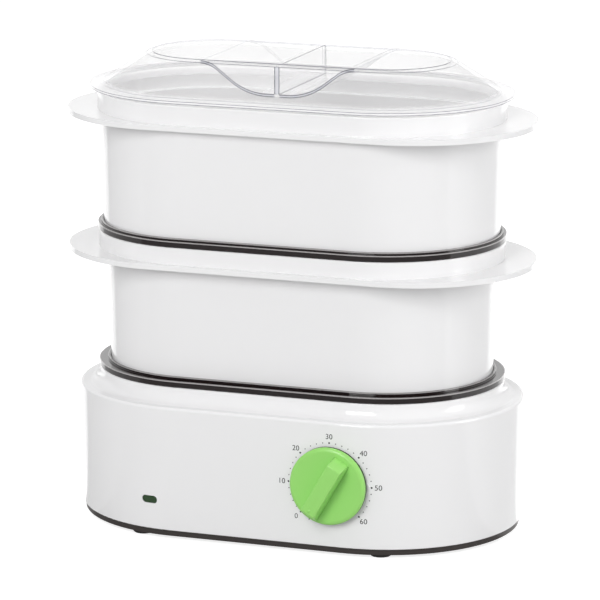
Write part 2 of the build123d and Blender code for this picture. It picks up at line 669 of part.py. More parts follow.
for tier in ("lower", "upper"):
    seat_z = SEAT_Z[tier]
    basket_r = BASKET_R[tier]
    bore_r = basket_r + SIDE_GAP
    lip_r = bore_r + RING_LIP_WALL
    floor_top_z = seat_z + TRAY_RISE
    floor_under_z = floor_top_z - TRAY_FLOOR

    with BuildPart() as steam_tray:
        carry_round([
            (0, floor_under_z, 0),
            (skirt_bore_r, floor_under_z, 0),
            (skirt_bore_r, seat_z - SKIRT_DEPTH, 0),
            (SKIRT_R, seat_z - SKIRT_DEPTH, FINE_ROUND),
            (SKIRT_R, seat_z, 0),
            (RING_R, seat_z, FINE_ROUND),
            (RING_R, seat_z + RING_EDGE, EDGE_ROUND),
            (lip_r, seat_z + RING_EDGE, FINE_ROUND),
            (lip_r, seat_z + RING_LIP, FINE_ROUND),
            (bore_r, seat_z + RING_LIP, FINE_ROUND),
            (bore_r, floor_top_z, 0),
            (0, floor_top_z, 0),
        ])
        with BuildSketch(level(floor_under_z)):
            with GridLocations(*FLOOR_SLOT_PITCH, *FLOOR_SLOT_COUNT):
                SlotOverall(*FLOOR_SLOT)
        extrude(amount=TRAY_FLOOR, mode=Mode.SUBTRACT)
    finish(steam_tray, f"steam_tray_{tier}")

    flange_z = seat_z + FLANGE_HEIGHT[tier]
    flange_under_z = flange_z - FLANGE_THICK
    top_z = seat_z + TIER_PITCH - SEAT_GAP
    foot_z = floor_top_z + SEAT_GAP
    wall_top_r = basket_r + BASKET_DRAFT
    with BuildPart() as basket:
        carry_round([
            (basket_r, foot_z, FINE_ROUND),
            (wall_top_r, flange_under_z, SOFT_ROUND),
            (COLLAR_R + FLANGE_LAND, flange_under_z, 0),
            (COLLAR_R + FLANGE_LAND, flange_z, 0),
            (COLLAR_R, flange_z, 0),
            (COLLAR_R, top_z, EDGE_ROUND),
            (COLLAR_BORE_R, top_z, EDGE_ROUND),
            (COLLAR_BORE_R, flange_z, FINE_ROUND),
            (wall_top_r - WALL, flange_z, EDGE_ROUND),
            (basket_r - WALL, foot_z, FINE_ROUND),
        ])
        # Wide flange whose ends are the carrying ears
        with BuildSketch(level(flange_under_z)):
            stadium(FLANGE_R, FLANGE_SPINE)
            stadium(COLLAR_R, mode=Mode.SUBTRACT)
        extrude(amount=FLANGE_THICK)
    finish(basket, f"basket_{tier}")

# ---------------------------------------------------------------- lid
lid_skirt_z = LID_Z - LID_SKIRT
rim_under_z = LID_Z + LID_RIM_RISE
rim_top_z = rim_under_z + LID_RIM_THICK
shoulder_z = LID_Z + LID_SHOULDER_RISE
ledge_z = LID_TOP_Z - LID_TOP_STEP
wall_drop = 1.2 * LID_WALL     # upright thickness of the sloping wall
plate_bore_r = LID_PLATE_R - LID_WALL / 2
scoop_reach = LID_TOP_R - LID_WALL
mouth_reach = LID_PLATE_R - SCOOP_RIM


def scoop_section(drop, top):
    """Smile-shaped section of the finger recess, lowered by drop and closed at top."""
    run = SCOOP_R + SCOOP_LIP_R
    rise = SCOOP_DEPTH + HAIR - run * (1 - cos(radians(SCOOP_ANGLE)))
    with BuildSketch(facing_front(0, MID_Y, LID_TOP_Z), mode=Mode.PRIVATE) as section:
        with BuildLine():
            flat = Line((0, -SCOOP_DEPTH - drop), (SCOOP_FLAT, -SCOOP_DEPTH - drop))
            bowl = JernArc(flat @ 1, (1, 0), SCOOP_R, SCOOP_ANGLE)
            slope = PolarLine(bowl @ 1, rise / sin(radians(SCOOP_ANGLE)), SCOOP_ANGLE)
            lip = JernArc(slope @ 1, slope % 1, SCOOP_LIP_R, -SCOOP_ANGLE)
            Polyline(lip @ 1, ((lip @ 1).X, top), (0, top), flat @ 0)
        make_face()
        mirror(about=Plane.YZ)
    return section.sketch


with BuildPart() as lid:
    carry_round([
        (0, lid_skirt_z, 0),
        (SKIRT_R, lid_skirt_z, FINE_ROUND),
        (SKIRT_R, LID_Z, FINE_ROUND),
        (COLLAR_R, LID_Z, 0),
        (COLLAR_R + LID_RIM_RISE, rim_under_z, 0),
        (LID_RIM_R, rim_under_z, FINE_ROUND),
        (LID_RIM_R, rim_top_z, FINE_ROUND),
        (LID_SHOULDER_R + LID_WALL, rim_top_z, DECK_ROUND),
        (LID_SHOULDER_R, shoulder_z, 0),
        (LID_TOP_R, ledge_z, FINE_ROUND),
        (LID_PLATE_R, ledge_z, 0),
        (LID_PLATE_R, LID_TOP_Z, FINE_ROUND),
        (0, LID_TOP_Z, 0),
    ])
    carry_round([
        (0, lid_skirt_z, 0),
        (skirt_bore_r, lid_skirt_z, 0),
        (skirt_bore_r, shoulder_z - 1.5 * wall_drop, SOFT_ROUND),
        (LID_TOP_R - LID_WALL / 2, ledge_z - wall_drop, FINE_ROUND),
        (plate_bore_r, ledge_z - wall_drop, 0),
        (plate_bore_r, LID_TOP_Z - wall_drop, FINE_ROUND),
        (0, LID_TOP_Z - wall_drop, 0),
    ], mode=Mode.SUBTRACT)
    # Finger recess: its floor and end walls hang inside the dome
    hull_top = -LID_TOP_STEP - wall_drop / 4
    extrude(scoop_section(wall_drop, hull_top), amount=LID_TOP_R - FINE_ROUND, both=True)
    extrude(scoop_section(0, LID_WALL), amount=mouth_reach, both=True, mode=Mode.SUBTRACT)
    # Below the plate the recess reaches on under the rim of its mouth
    pocket = extrude(scoop_section(0, LID_WALL), amount=scoop_reach, both=True, mode=Mode.PRIVATE)
    under_rim = level(LID_TOP_Z - 2 * LID_WALL)
    add(split(pocket, bisect_by=under_rim, keep=Keep.BOTTOM, mode=Mode.PRIVATE), mode=Mode.SUBTRACT)
    # Grip: a web along the middle of the recess
    with BuildSketch(level(LID_TOP_Z - SCOOP_DEPTH - wall_drop / 2)):
        Rectangle(GRIP_THICK, 2 * scoop_reach + LID_WALL)
    extrude(amount=SCOOP_DEPTH + wall_drop / 2 - LID_TOP_STEP)
    with BuildSketch(level(ledge_z)):
        Rectangle(GRIP_THICK, 2 * mouth_reach + SCOOP_RIM)
    extrude(amount=LID_TOP_STEP)
finish(lid, "lid")
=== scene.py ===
from math import cos, pi, radians, sin

import bmesh
import bpy
from bpy.props import FloatProperty, FloatVectorProperty, PointerProperty
from mathutils import Matrix, Vector


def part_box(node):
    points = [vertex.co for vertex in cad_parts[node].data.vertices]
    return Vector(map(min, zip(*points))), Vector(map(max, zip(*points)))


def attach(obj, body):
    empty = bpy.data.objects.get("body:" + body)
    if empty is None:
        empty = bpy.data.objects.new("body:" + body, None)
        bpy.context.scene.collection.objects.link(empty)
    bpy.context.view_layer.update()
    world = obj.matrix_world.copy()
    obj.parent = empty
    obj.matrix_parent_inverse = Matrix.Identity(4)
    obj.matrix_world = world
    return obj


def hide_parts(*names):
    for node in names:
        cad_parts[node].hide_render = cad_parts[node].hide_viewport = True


bl_info = {
    "name": "Food Steamer Finish",
    "version": (1, 0, 0),
    "blender": (4, 5, 0),
    "location": "View3D > Sidebar > Steamer",
    "description": "Dresses the food steamer frame: finishes, dial print, studio",
    "category": "Object",
}

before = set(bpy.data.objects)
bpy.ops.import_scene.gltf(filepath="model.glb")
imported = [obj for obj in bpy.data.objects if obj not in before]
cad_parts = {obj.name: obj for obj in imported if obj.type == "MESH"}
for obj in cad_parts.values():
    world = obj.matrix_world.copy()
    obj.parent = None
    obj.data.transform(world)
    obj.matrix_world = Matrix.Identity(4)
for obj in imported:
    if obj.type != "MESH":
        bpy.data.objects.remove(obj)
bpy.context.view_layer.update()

MM = 0.001
WALL_RAY_START = -0.5       # in front of everything, for rays that look for the front wall


def box_middle(node):
    low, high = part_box(node)
    return (Vector(low) + Vector(high)) / 2


def box_size(node):
    low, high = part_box(node)
    return Vector(high) - Vector(low)


STACK_MIDDLE = box_middle("lid")
DIAL_MIDDLE = box_middle("timer_knob")
KNOB_RADIUS = box_size("timer_knob").x / 2
LID_LOW, LID_HIGH = (Vector(corner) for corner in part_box("lid"))
LID_TOP = LID_HIGH.z
RIM_TOP = LID_TOP - 23.8 * MM
SHOULDER_TOP = LID_TOP - 22.2 * MM


# ---------------------------------------------------------------- settings
class SteamerColours(bpy.types.PropertyGroup):
    """Colours of the steamer's plastics and print"""

    white: FloatVectorProperty(
        name="White plastic",
        description="Housing and baskets",
        subtype="COLOR",
        min=0.0,
        max=1.0,
        default=(0.853, 0.85, 0.856),
    )
    tray: FloatVectorProperty(
        name="Tray",
        description="Dark steam trays",
        subtype="COLOR",
        min=0.0,
        max=1.0,
        default=(0.007, 0.003, 0.003),
    )
    base: FloatVectorProperty(
        name="Base plate",
        description="Warm grey plate under the housing",
        subtype="COLOR",
        min=0.0,
        max=1.0,
        default=(0.040, 0.034, 0.032),
    )
    knob: FloatVectorProperty(
        name="Knob",
        description="Timer knob",
        subtype="COLOR",
        min=0.0,
        max=1.0,
        default=(0.315, 0.70, 0.165),
    )
    lens: FloatVectorProperty(
        name="Pilot lens",
        description="Tinted window of the pilot light",
        subtype="COLOR",
        min=0.0,
        max=1.0,
        default=(0.018, 0.045, 0.016),
    )
    clear: FloatVectorProperty(
        name="Clear lid",
        description="Tint of the clear plastic",
        subtype="COLOR",
        min=0.0,
        max=1.0,
        default=(0.98, 0.975, 0.985),
    )
    # painted light: blue-grey in the middle of the cut edges, in place of the light they carry
    clear_core: FloatVectorProperty(
        name="Clear edge",
        description="Cut edges of the lid's clear sheet, in the middle of their thickness",
        subtype="COLOR",
        min=0.0,
        max=1.0,
        default=(0.72, 0.735, 0.80),
    )
    # painted shade: dark lines along the cut edges, in place of the shade seen there
    clear_rim: FloatVectorProperty(
        name="Clear edge line",
        description="Lines along both sides of the lid's cut edges",
        subtype="COLOR",
        min=0.0,
        max=1.0,
        default=(0.11, 0.115, 0.145),
    )
    ink: FloatVectorProperty(
        name="Ink",
        description="Dots and numerals round the dial",
        subtype="COLOR",
        min=0.0,
        max=1.0,
        default=(0.004, 0.004, 0.006),
    )


class SteamerSizes(bpy.types.PropertyGroup):
    """Sizes of the print on the front wall"""

    dot_circle: FloatProperty(
        name="Dot circle",
        description="Radius of the circle of minute dots",
        subtype="DISTANCE",
        unit="LENGTH",
        precision=5,
        default=KNOB_RADIUS + 2 * MM,
    )
    minute_dot: FloatProperty(
        name="Minute dot",
        description="Radius of a dot between two numerals",
        subtype="DISTANCE",
        unit="LENGTH",
        precision=5,
        default=0.42 * MM,
    )
    numbered_dot: FloatProperty(
        name="Numbered dot",
        description="Radius of a dot that has a numeral",
        subtype="DISTANCE",
        unit="LENGTH",
        precision=5,
        default=0.7 * MM,
    )
    numeral_circle: FloatProperty(
        name="Numeral circle",
        description="Radius of the circle that the numerals are centred on",
        subtype="DISTANCE",
        unit="LENGTH",
        precision=5,
        default=KNOB_RADIUS + 6.8 * MM,
    )
    numeral_height: FloatProperty(
        name="Numeral height",
        description="Height of a numeral",
        subtype="DISTANCE",
        unit="LENGTH",
        precision=5,
        default=3.9 * MM,
    )
    ink_thickness: FloatProperty(
        name="Ink thickness",
        description="How far the print stands on the wall",
        subtype="DISTANCE",
        unit="LENGTH",
        precision=5,
        default=0.05 * MM,
    )


class StudioSettings(bpy.types.PropertyGroup):
    """Camera and lamps"""

    azimuth: FloatProperty(
        name="Azimuth",
        description="Camera's turn to the right of the front",
        subtype="ANGLE",
        unit="ROTATION",
        default=radians(19.92),
    )
    elevation: FloatProperty(
        name="Elevation",
        description="Camera's height above the horizon",
        subtype="ANGLE",
        unit="ROTATION",
        default=radians(12.66),
    )
    distance: FloatProperty(
        name="Distance",
        description="From the camera to the point it looks at",
        subtype="DISTANCE",
        unit="LENGTH",
        default=2.99,
    )
    lens: FloatProperty(
        name="Focal length",
        description="In millimetres on a 36 mm wide sensor",
        unit="CAMERA",
        default=240.2,
    )
    lamp_strength: FloatProperty(
        name="Lamps",
        description="Power of the large lamp beside the camera, in watts",
        unit="POWER",
        default=33.0,
    )
    room_light: FloatProperty(
        name="Room light",
        description="Strength of the even light from all round",
        default=0.5,
    )


# ---------------------------------------------------------------- material helpers
def add_node(tree, kind, values=None, **settings):
    """New node with its settings and its sockets' values."""
    made = tree.nodes.new(kind)
    for name, value in settings.items():
        setattr(made, name, value)
    for socket, value in (values or {}).items():
        made.inputs[socket].default_value = value
    return made


def new_group(name, inputs, outputs):
    """Empty shader node group with float sockets: (tree, its input node, its output node)."""
    tree = bpy.data.node_groups.new(name, "ShaderNodeTree")
    for label, default in inputs.items():
        socket = tree.interface.new_socket(label, in_out="INPUT", socket_type="NodeSocketFloat")
        socket.default_value = default
    for label in outputs:
        tree.interface.new_socket(label, in_out="OUTPUT", socket_type="NodeSocketFloat")
    return tree, tree.nodes.new("NodeGroupInput"), tree.nodes.new("NodeGroupOutput")


def moulded_skin():
    """Group: the faint waves and grain of a moulded surface, and where it is duller."""
    name = "Moulded Skin"
    if name in bpy.data.node_groups:
        return bpy.data.node_groups[name]
    tree, start, end = new_group(
        name, {"Wave Scale": 60.0, "Grain Scale": 900.0, "Grain Share": 0.3}, ("Height", "Dullness")
    )
    place = add_node(tree, "ShaderNodeTexCoord").outputs["Object"]
    wave = add_node(tree, "ShaderNodeTexNoise", {"Detail": 2.0, "Roughness": 0.4})
    grain = add_node(tree, "ShaderNodeTexNoise", {"Detail": 3.0, "Roughness": 0.6})
    patch = add_node(tree, "ShaderNodeTexNoise", {"Scale": 14.0, "Detail": 5.0, "Roughness": 0.62})
    blend = add_node(tree, "ShaderNodeMix")
    links = tree.links
    for texture in (wave, grain, patch):
        links.new(place, texture.inputs["Vector"])
    links.new(start.outputs["Wave Scale"], wave.inputs["Scale"])
    links.new(start.outputs["Grain Scale"], grain.inputs["Scale"])
    links.new(start.outputs["Grain Share"], blend.inputs["Factor"])
    links.new(wave.outputs["Fac"], blend.inputs["A"])
    links.new(grain.outputs["Fac"], blend.inputs["B"])
    links.new(blend.outputs["Result"], end.inputs["Height"])
    links.new(patch.outputs["Fac"], end.inputs["Dullness"])
    return tree


def plain_material(name, colour, roughness, **values):
    """Material with a Principled shader: (material, its tree, the shader)."""
    material = bpy.data.materials.new(name)
    material.use_nodes = True
    material.diffuse_color = (*colour, 1.0)
    tree = material.node_tree
    shader = tree.nodes["Principled BSDF"]
    shader.inputs["Base Color"].default_value = (*colour, 1.0)
    shader.inputs["Roughness"].default_value = roughness
    for socket, value in values.items():
        shader.inputs[socket.replace("_", " ")].default_value = value
    return material, tree, shader


def mould(
    tree, shader, gloss_range, tint=None, wave=60.0, grain=900.0, grain_share=0.3, depth=0.02
):
    """Give a shader the moulded skin: roughness that varies, a bump, and a slight tint."""
    skin = add_node(
        tree,
        "ShaderNodeGroup",
        {"Wave Scale": wave, "Grain Scale": grain, "Grain Share": grain_share},
        node_tree=moulded_skin(),
    )
    gloss = add_node(
        tree,
        "ShaderNodeMapRange",
        {"From Min": 0.3, "From Max": 0.7, "To Min": gloss_range[0], "To Max": gloss_range[1]},
    )
    bump = add_node(tree, "ShaderNodeBump", {"Strength": 1.0, "Distance": depth * MM})
    tree.links.new(skin.outputs["Dullness"], gloss.inputs["Value"])
    tree.links.new(gloss.outputs["Result"], shader.inputs["Roughness"])
    tree.links.new(skin.outputs["Height"], bump.inputs["Height"])
    tree.links.new(bump.outputs["Normal"], shader.inputs["Normal"])
    if tint:
        colour = shader.inputs["Base Color"].default_value[:]
        mix = add_node(tree, "ShaderNodeMix", data_type="RGBA")
        mix.inputs["A"].default_value = colour
        mix.inputs["B"].default_value = (*tint, 1.0)
        tree.links.new(skin.outputs["Dullness"], mix.inputs["Factor"])
        tree.links.new(mix.outputs["Result"], shader.inputs["Base Color"])


# ---------------------------------------------------------------- materials
def shade(colour, factor):
    return tuple(min(1.0, part * factor) for part in colour)


def white_plastic(colours):
    material, tree, shader = plain_material("White Plastic", colours.white, 0.12, IOR=1.5)
    mould(tree, shader, (0.06, 0.11), shade(colours.white, 1.01), grain_share=0.1, depth=0.002)
    return material


def tray_plastic(colours):
    material, tree, shader = plain_material("Tray Plastic", colours.tray, 0.08, IOR=1.56)
    mould(tree, shader, (0.04, 0.08), shade(colours.tray, 1.3), grain_share=0.1, depth=0.003)
    return material


def tray_edge(colours):
    """Upper edges of the dark trays; the light colour stands in for their reflections."""
    material, tree, shader = plain_material("Tray Edge", (0.34, 0.325, 0.325), 0.08, IOR=1.56)
    mould(tree, shader, (0.04, 0.08), (0.40, 0.385, 0.385), grain_share=0.1, depth=0.003)
    return material


def base_plastic(colours):
    material, tree, shader = plain_material(
        "Base Plastic", colours.base, 0.42, Specular_IOR_Level=0.3
    )
    mould(tree, shader, (0.36, 0.5), shade(colours.base, 1.25), grain_share=0.8, depth=0.02)
    return material


def rubber(colours):
    material, tree, shader = plain_material("Rubber", (0.022, 0.021, 0.02), 0.7)
    tint = (0.035, 0.033, 0.031)
    mould(tree, shader, (0.6, 0.8), tint, grain=1600.0, grain_share=0.9, depth=0.04)
    return material


def knob_plastic(colours):
    material, tree, shader = plain_material("Knob Plastic", colours.knob, 0.3, IOR=1.49)
    mould(tree, shader, (0.24, 0.34), shade(colours.knob, 1.03), grain_share=0.7, depth=0.008)
    return material


def knob_groove(colours):
    """Back edge of the knob's skirt, painted dark: painted shade where it lies in its own shadow.
    """
    dark = shade(colours.knob, 0.06)
    material, tree, shader = plain_material("Knob Groove", dark, 0.6, Specular_IOR_Level=0.1)
    mould(tree, shader, (0.5, 0.7), shade(dark, 1.3), grain_share=0.7, depth=0.008)
    return material


def lens_plastic(colours):
    material, tree, shader = plain_material("Lens Plastic", colours.lens, 0.06, IOR=1.5)
    mould(tree, shader, (0.04, 0.09), shade(colours.lens, 1.6), grain_share=0.2, depth=0.01)
    return material


SLANT_POWER = 2.5           # how late the clear sheet turns solid towards its edges
SHADOW_SHARE = 0.1          # share of its solidity that the lamps' light meets
PAINTED_SHEEN_ALPHA = 0.42          # added to it at the height of the rim, as painted sheen


def clear_finish(name, colour, facing_alpha, grazing_alpha, inside_share):
    """Clear sheet, more solid where it is seen edge on, and fainter from its inner side.

    Gives the material, its tree, and the nodes that hold and that take the solidity.
    """
    material, tree, shader = plain_material(name, colour, 0.05, Specular_IOR_Level=0.3)
    mould(tree, shader, (0.03, 0.07), shade(colour, 0.97), grain_share=0.1, wave=40.0, depth=0.003)
    slant = add_node(tree, "ShaderNodeLayerWeight", {"Blend": 0.5})
    steep = add_node(tree, "ShaderNodeMath", {1: SLANT_POWER}, operation="POWER")
    solid = add_node(
        tree, "ShaderNodeMapRange", {"To Min": facing_alpha, "To Max": grazing_alpha}
    )
    side = add_node(tree, "ShaderNodeNewGeometry")
    path = add_node(tree, "ShaderNodeLightPath")
    inner = add_node(tree, "ShaderNodeMapRange", {"To Min": 1.0, "To Max": inside_share})
    lit = add_node(tree, "ShaderNodeMapRange", {"To Min": 1.0, "To Max": SHADOW_SHARE})
    sided = add_node(tree, "ShaderNodeMath", operation="MULTIPLY")
    alpha = add_node(tree, "ShaderNodeMath", operation="MULTIPLY")
    tree.links.new(slant.outputs["Facing"], steep.inputs[0])
    tree.links.new(steep.outputs[0], solid.inputs["Value"])
    tree.links.new(side.outputs["Backfacing"], inner.inputs["Value"])
    tree.links.new(path.outputs["Is Shadow Ray"], lit.inputs["Value"])
    tree.links.new(solid.outputs["Result"], sided.inputs[0])
    tree.links.new(inner.outputs["Result"], sided.inputs[1])
    tree.links.new(sided.outputs[0], alpha.inputs[0])
    tree.links.new(lit.outputs["Result"], alpha.inputs[1])
    tree.links.new(alpha.outputs[0], shader.inputs["Alpha"])
    return material, tree, solid, sided


def clear_plastic(colours):
    """The lid's sheet, painted more solid and white low down where it bends out to the rim: painted
    sheen.
    """
    material, tree, solid, sided = clear_finish("Clear Plastic", colours.clear, 0.02, 0.42, 0.6)
    place = add_node(tree, "ShaderNodeTexCoord")
    parts = add_node(tree, "ShaderNodeSeparateXYZ")
    painted_sheen = add_node(
        tree,
        "ShaderNodeMapRange",
        {"From Min": RIM_TOP, "From Max": SHOULDER_TOP + MM, "To Min": PAINTED_SHEEN_ALPHA, "To Max": 0.0},
    )
    both = add_node(tree, "ShaderNodeMath", operation="ADD")
    tree.links.new(place.outputs["Object"], parts.inputs["Vector"])
    tree.links.new(parts.outputs["Z"], painted_sheen.inputs["Value"])
    tree.links.new(solid.outputs["Result"], both.inputs[0])
    tree.links.new(painted_sheen.outputs["Result"], both.inputs[1])
    tree.links.new(both.outputs[0], sided.inputs[0])
    return material


# Painted light in the middle of the lid's cut edges
def clear_core(colours):
    return clear_finish("Clear Core", colours.clear_core, 0.7, 0.8, 0.1)[0]


# Painted shade along the lid's cut edges and its other edges
def clear_line(colours):
    return clear_finish("Clear Line", colours.clear_rim, 0.9, 0.95, 0.2)[0]


def smoked_plastic(colours):
    material, tree, shader = plain_material("Smoked Plastic", (0.62, 0.63, 0.66), 0.15, IOR=1.5)
    shader.inputs["Transmission Weight"].default_value = 0.6
    mould(tree, shader, (0.1, 0.25), grain_share=0.3, depth=0.01)
    return material


def tank_plastic(colours):
    material, tree, shader = plain_material("Tank Plastic", (0.72, 0.72, 0.73), 0.25)
    mould(tree, shader, (0.2, 0.32), (0.68, 0.69, 0.7), grain_share=0.5, depth=0.01)
    return material


def ring_plastic(colours):
    material, tree, shader = plain_material("Ring Plastic", (0.48, 0.48, 0.5), 0.35)
    mould(tree, shader, (0.3, 0.42), (0.44, 0.44, 0.46), grain_share=0.6, depth=0.015)
    return material


def silicone(colours):
    material, tree, shader = plain_material("Silicone", (0.58, 0.58, 0.55), 0.5)
    mould(tree, shader, (0.42, 0.6), (0.62, 0.61, 0.57), grain_share=0.6, depth=0.02)
    return material


def timer_plastic(colours):
    material, tree, shader = plain_material("Timer Plastic", (0.5, 0.46, 0.38), 0.45)
    mould(tree, shader, (0.38, 0.55), (0.45, 0.41, 0.33), grain_share=0.8, depth=0.03)
    return material


def lamp_glass(colours):
    material, tree, shader = plain_material("Lamp Glass", (0.8, 0.88, 0.8), 0.05, IOR=1.46)
    shader.inputs["Transmission Weight"].default_value = 0.7
    mould(tree, shader, (0.02, 0.08), grain_share=0.2, depth=0.005)
    return material


def brushed(name, colour, gloss_range):
    """Metal with fine lines drawn along X."""
    material, tree, shader = plain_material(name, colour, 0.3, Metallic=1.0)
    place = add_node(tree, "ShaderNodeTexCoord")
    squeeze = add_node(tree, "ShaderNodeMapping")
    squeeze.inputs["Scale"].default_value = (0.03, 1.0, 1.0)
    lines = add_node(tree, "ShaderNodeTexNoise", {"Scale": 2600.0, "Detail": 4.0})
    gloss = add_node(
        tree, "ShaderNodeMapRange", {"To Min": gloss_range[0], "To Max": gloss_range[1]}
    )
    bump = add_node(tree, "ShaderNodeBump", {"Distance": 0.004 * MM})
    tree.links.new(place.outputs["Object"], squeeze.inputs["Vector"])
    tree.links.new(squeeze.outputs["Vector"], lines.inputs["Vector"])
    tree.links.new(lines.outputs["Fac"], gloss.inputs["Value"])
    tree.links.new(gloss.outputs["Result"], shader.inputs["Roughness"])
    tree.links.new(lines.outputs["Fac"], bump.inputs["Height"])
    tree.links.new(bump.outputs["Normal"], shader.inputs["Normal"])
    return material


def steel(colours):
    return brushed("Steel", (0.6, 0.59, 0.58), (0.22, 0.4))


def aluminium(colours):
    return brushed("Aluminium", (0.7, 0.7, 0.71), (0.3, 0.5))


def dial_ink(colours):
    material, tree, shader = plain_material("Dial Ink", colours.ink, 0.4)
    mould(tree, shader, (0.32, 0.5), shade(colours.ink, 1.5), grain_share=0.6, depth=0.004)
    return material


def finish(material_maker):
    """The material that a maker gives, made once."""
    name = material_maker.__name__.replace("_", " ").title()
    if name in bpy.data.materials:
        return bpy.data.materials[name]
    return material_maker(bpy.context.scene.steamer_colours)


def dress(material_maker, *nodes):
    """Give CAD nodes a finish."""
    material = finish(material_maker)
    for name in nodes:
        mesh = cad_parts[name].data
        mesh.materials.clear()
        mesh.materials.append(material)


# ---------------------------------------------------------------- shape helpers
def on_front_wall(x, z):
    """Point and outward normal of the housing's wall straight in front of (x, z)."""
    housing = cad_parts["housing"]
    start = Vector((x, WALL_RAY_START, z))
    hit, place, normal, _ = housing.ray_cast(start, Vector((0.0, 1.0, 0.0)))
    if not hit:
        raise RuntimeError(f"no wall in front of x {x:.4f}, z {z:.4f}")
    return place, normal


def keep_piece(name, shape, material_maker, body):
    """Turn a bmesh into a named piece that rides on a CAD body."""
    mesh = bpy.data.meshes.new(name)
    shape.normal_update()
    shape.to_mesh(mesh)
    shape.free()
    mesh.materials.append(finish(material_maker))
    piece = bpy.data.objects.new(name, mesh)
    bpy.context.scene.collection.objects.link(piece)
    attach(piece, body)
    return piece


def skin_rings(shape, rings):
    """Faces between rings of vertices, as one list for each gap between two rings."""
    bands = []
    for ring, following in zip(rings, rings[1:]):
        band = []
        for place in range(len(ring)):
            after = (place + 1) % len(ring)
            corners = (ring[place], ring[after], following[after], following[place])
            band.append(shape.faces.new(corners))
        bands.append(band)
    return bands


# ---------------------------------------------------------------- dial print
MINUTES = 60
MINUTES_PER_DOT = 2
MINUTES_PER_NUMERAL = 10
DEGREES_PER_MINUTE = 4.5
ZERO_BEARING = 225.0        # degrees anticlockwise from +X, seen from the front
OFF_BEARING = 240.0
DOT_SEGMENTS = 20
DOT_PROFILE = ((1.0, 0.0), (0.92, 0.7), (0.6, 1.0))     # shares of the radius and of the height
CURVE_DETAIL = 6


def dial_point(bearing, radius):
    """(x, z) of a point on a circle round the dial."""
    turn = radians(bearing)
    return DIAL_MIDDLE.x + radius * cos(turn), DIAL_MIDDLE.z + radius * sin(turn)


def minute_bearing(minute):
    return ZERO_BEARING - DEGREES_PER_MINUTE * minute


def add_dot(shape, bearing, radius, sizes):
    """Low round button of ink that lies on the wall."""
    x, z = dial_point(bearing, sizes.dot_circle)
    rings = []
    for share, height in DOT_PROFILE:
        ring = []
        for step in range(DOT_SEGMENTS):
            turn = 2 * pi * step / DOT_SEGMENTS
            dx, dz = radius * share * cos(turn), radius * share * sin(turn)
            place, normal = on_front_wall(x + dx, z + dz)
            ring.append(shape.verts.new(place + normal * sizes.ink_thickness * height))
        rings.append(ring)
    skin_rings(shape, rings)
    shape.faces.new(rings[-1])


def numeral_mesh(text, height):
    """Flat mesh of a numeral, centred on its own origin, as tall as height."""
    curve = bpy.data.curves.new(text, "FONT")
    curve.body = text
    curve.align_x = "CENTER"
    curve.align_y = "CENTER"
    curve.resolution_u = CURVE_DETAIL
    holder = bpy.data.objects.new(text, curve)
    bpy.context.scene.collection.objects.link(holder)
    bpy.context.view_layer.update()
    depsgraph = bpy.context.evaluated_depsgraph_get()
    mesh = bpy.data.meshes.new_from_object(holder.evaluated_get(depsgraph))
    bpy.data.objects.remove(holder)
    bpy.data.curves.remove(curve)
    low = min(vertex.co.y for vertex in mesh.vertices)
    high = max(vertex.co.y for vertex in mesh.vertices)
    left = min(vertex.co.x for vertex in mesh.vertices)
    right = max(vertex.co.x for vertex in mesh.vertices)
    factor = height / (high - low)
    centre = Vector(((left + right) / 2, (low + high) / 2, 0.0))
    mesh.transform(Matrix.Scale(factor, 4) @ Matrix.Translation(-centre))
    return mesh


def add_numeral(shape, minute, sizes):
    """Numeral laid on the wall beside its dot, with a side wall as deep as the ink."""
    x, z = dial_point(minute_bearing(minute), sizes.numeral_circle)
    flat = numeral_mesh(str(minute), sizes.numeral_height)
    letter = bmesh.new()
    letter.from_mesh(flat)
    bpy.data.meshes.remove(flat)
    raised = bmesh.ops.extrude_face_region(letter, geom=letter.faces[:])
    top = {item for item in raised["geom"] if isinstance(item, bmesh.types.BMVert)}
    for vertex in letter.verts:
        lift = sizes.ink_thickness if vertex in top else 0.0
        place, normal = on_front_wall(x + vertex.co.x, z + vertex.co.y)
        vertex.co = place + normal * lift
    bmesh.ops.recalc_face_normals(letter, faces=letter.faces)
    joined = bpy.data.meshes.new("numeral")
    letter.to_mesh(joined)
    letter.free()
    shape.from_mesh(joined)
    bpy.data.meshes.remove(joined)


class STEAMER_OT_dial_print(bpy.types.Operator):
    """Print the minute dots and numerals round the knob"""

    bl_idname = "steamer.dial_print"
    bl_label = "Dial Print"

    def execute(self, context):
        sizes = context.scene.steamer_sizes
        dots = bmesh.new()
        for minute in range(0, MINUTES + 1, MINUTES_PER_DOT):
            numbered = minute % MINUTES_PER_NUMERAL == 0
            radius = sizes.numbered_dot if numbered else sizes.minute_dot
            add_dot(dots, minute_bearing(minute), radius, sizes)
        add_dot(dots, OFF_BEARING, sizes.minute_dot, sizes)
        keep_piece("dial_dots", dots, dial_ink, "base")
        numerals = bmesh.new()
        for minute in range(0, MINUTES + 1, MINUTES_PER_NUMERAL):
            add_numeral(numerals, minute, sizes)
        keep_piece("dial_numerals", numerals, dial_ink, "base")
        return {"FINISHED"}


# ---------------------------------------------------------------- CAD pieces
class STEAMER_OT_base(bpy.types.Operator):
    """Finish the housing, its base plate, the feet and what is in them"""

    bl_idname = "steamer.base"
    bl_label = "Base"

    def execute(self, context):
        dress(white_plastic, "housing")
        dress(base_plastic, "base_plate")
        dress(rubber, "feet", "cord_gland")
        dress(lens_plastic, "pilot_lens")
        dress(lamp_glass, "pilot_lamp")
        dress(timer_plastic, "timer_case", "terminal_block")
        dress(steel, "base_screws", "timer_plate", "timer_screws", "timer_shaft", "timer_bell")
        return {"FINISHED"}


